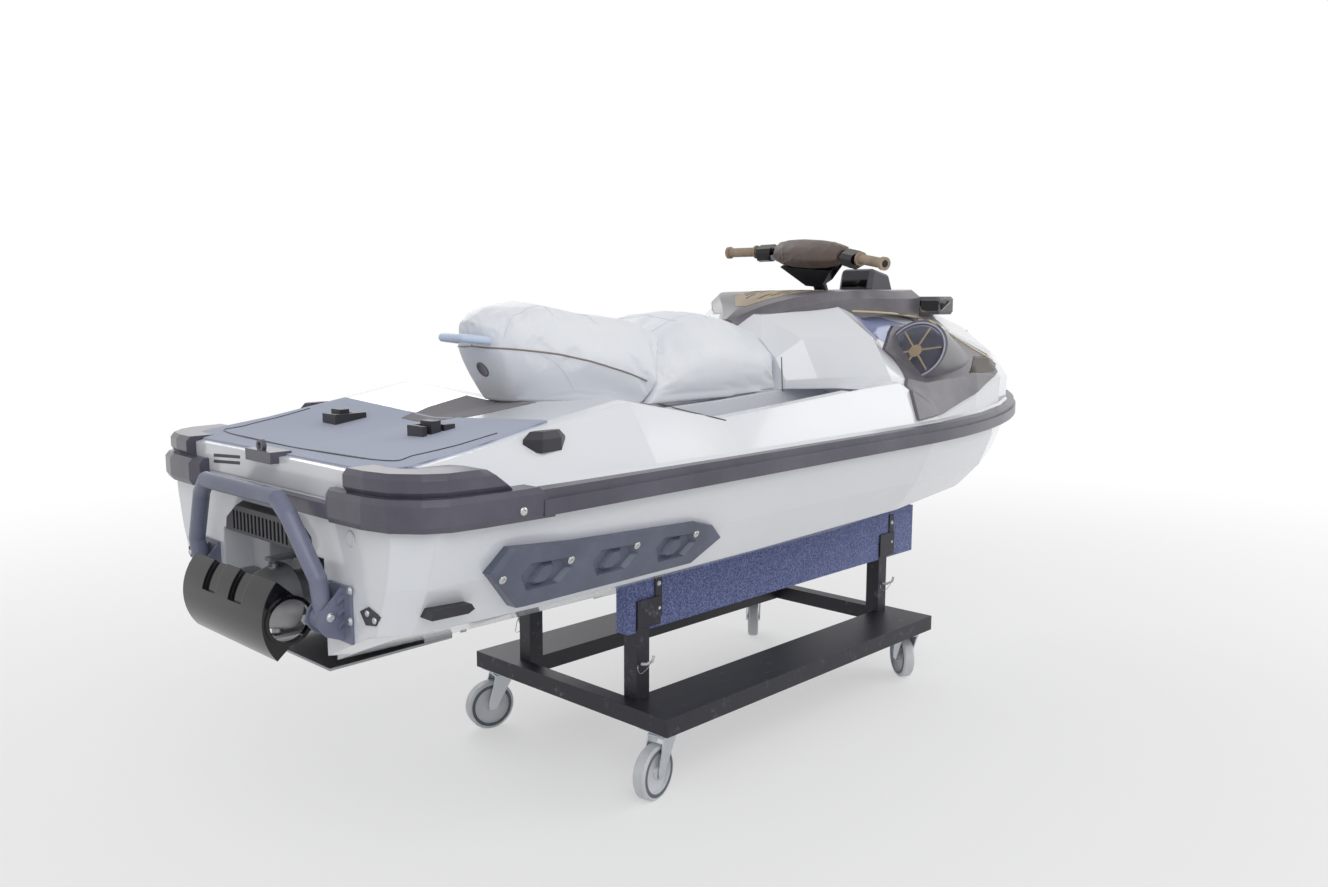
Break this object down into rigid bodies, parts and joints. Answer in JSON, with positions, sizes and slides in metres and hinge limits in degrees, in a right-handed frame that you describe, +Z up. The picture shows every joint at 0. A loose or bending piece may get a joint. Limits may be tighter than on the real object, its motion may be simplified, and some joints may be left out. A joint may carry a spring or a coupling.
{
  "type": "personal watercraft on a wheeled stand",
  "caption": "White three-seat jet-driven personal watercraft resting on carpeted bunks of a black wheeled cart.",
  "frame": {"origin": "on the floor at the middle of the bounding box's base", "axes": "+X towards the bow, +Y to port, +Z up"},
  "size_m": [3.493, 1.25, 1.5645],
  "materials": {
    "gelcoat": "gloss",
    "moulding": "satin",
    "black_gloss": "gloss",
    "foam_mat": "matte",
    "vinyl": "satin",
    "grip_rubber": "matte",
    "alloy": "satin",
    "stainless": "brushed",
    "cart_paint": "satin",
    "carpet": "matte",
    "zinc": "satin",
    "wheel_tread": "matte",
    "pad_leather": "satin",
    "iron": "matte"
  },
  "bodies": {
    "craft_and_cart": {"hull": "gelcoat", "deck": "gelcoat", "engine_block": "iron", "storage_bin": "moulding", "rub_rail": "moulding", "stern_bumpers": "moulding", "sponsons": "moulding", "rear_deck_mat": "foam_mat", "footwell_mats": "foam_mat", "passenger_seat": "vinyl", "driver_seat": "vinyl", "grab_handle": "vinyl", "deck_cleats": "moulding", "tow_hook": "moulding", "vent_cover": "moulding", "pump_housing": "alloy", "gate_hangers": "alloy", "ladder_brackets": "moulding", "console": "moulding", "mirrors": "black_gloss", "side_pods": "moulding", "bow_eye": "stainless", "ride_plate": "alloy", "intake_grate": "alloy", "trim_strips": "moulding", "bunks": "carpet", "cart_frame": "cart_paint", "cart_posts": "cart_paint", "caster_plates": "zinc"},
    "steering_bars": {"handlebar": "black_gloss", "grips": "grip_rubber", "handlebar_pad": "pad_leather"},
    "nozzle": {"steering_nozzle": "alloy"},
    "gate": {"reverse_gate": "black_gloss"},
    "impeller_rotor": {"impeller": "stainless"},
    "boarding_ladder": {"ladder": "moulding"},
    "lid": {"storage_lid": "moulding", "gauge": "moulding"},
    "caster_port_rear": {"fork_port_rear": "zinc"},
    "roller_port_rear": {"wheel_port_rear": "wheel_tread"},
    "caster_starboard_rear": {"fork_starboard_rear": "zinc"},
    "roller_starboard_rear": {"wheel_starboard_rear": "wheel_tread"},
    "caster_port_front": {"fork_port_front": "zinc"},
    "roller_port_front": {"wheel_port_front": "wheel_tread"},
    "caster_starboard_front": {"fork_starboard_front": "zinc"},
    "roller_starboard_front": {"wheel_starboard_front": "wheel_tread"}
  },
  "joints": [
    {"name": "steering", "type": "hinge", "parent": "craft_and_cart", "child": "steering_bars", "pos_m": [0.50605, 0, 1.34703], "axis": [-0.4765, 0, 0.8792], "range_deg": [-14, 34]},
    {"name": "nozzle_steer", "type": "hinge", "parent": "craft_and_cart", "child": "nozzle", "pos_m": [-1.61851, 0, 0.66095], "axis": [-0.008, 0, 1], "range_deg": [-27.2, 11.2]},
    {"name": "gate_tilt", "type": "hinge", "parent": "craft_and_cart", "child": "gate", "pos_m": [-1.61851, 0, 0.66095], "axis": [0, 1, 0], "range_deg": [-18, 28]},
    {"name": "impeller_spin", "type": "hinge", "parent": "craft_and_cart", "child": "impeller_rotor", "pos_m": [-1.36352, 0, 0.66299], "axis": [1, 0, 0.008], "continuous": true},
    {"name": "ladder_fold", "type": "hinge", "parent": "craft_and_cart", "child": "boarding_ladder", "pos_m": [-1.65766, 0, 0.67963], "axis": [0, -1, 0], "range_deg": [0, 150]},
    {"name": "lid_lift", "type": "hinge", "parent": "craft_and_cart", "child": "lid", "pos_m": [1.45408, 0, 1.22263], "axis": [0, 1, 0], "range_deg": [0, 45]},
    {"name": "swivel_port_rear", "type": "hinge", "parent": "craft_and_cart", "child": "caster_port_rear", "pos_m": [-0.705, 0.352, 0.17], "axis": [0, 0, 1], "continuous": true},
    {"name": "roll_port_rear", "type": "hinge", "parent": "caster_port_rear", "child": "roller_port_rear", "pos_m": [-0.7475, 0.36339, 0.075], "axis": [-0.2588, -0.9659, 0], "continuous": true},
    {"name": "swivel_starboard_rear", "type": "hinge", "parent": "craft_and_cart", "child": "caster_starboard_rear", "pos_m": [-0.705, -0.352, 0.17], "axis": [0, 0, 1], "continuous": true},
    {"name": "roll_starboard_rear", "type": "hinge", "parent": "caster_starboard_rear", "child": "roller_starboard_rear", "pos_m": [-0.74833, -0.35964, 0.075], "axis": [0.1736, -0.9848, 0], "continuous": true},
    {"name": "swivel_port_front", "type": "hinge", "parent": "craft_and_cart", "child": "caster_port_front", "pos_m": [0.561, 0.352, 0.17], "axis": [0, 0, 1], "continuous": true},
    {"name": "roll_port_front", "type": "hinge", "parent": "caster_port_front", "child": "roller_port_front", "pos_m": [0.59471, 0.38028, 0.075], "axis": [-0.6428, 0.766, 0], "continuous": true},
    {"name": "swivel_starboard_front", "type": "hinge", "parent": "craft_and_cart", "child": "caster_starboard_front", "pos_m": [0.561, -0.352, 0.17], "axis": [0, 0, 1], "continuous": true},
    {"name": "roll_starboard_front", "type": "hinge", "parent": "caster_starboard_front", "child": "roller_starboard_front", "pos_m": [0.58748, -0.31686, 0.075], "axis": [-0.7986, 0.6018, 0], "continuous": true}
  ],
  "couplings": [
    {"joint": "nozzle_steer", "follows": "steering", "ratio": -0.8}
  ]
}
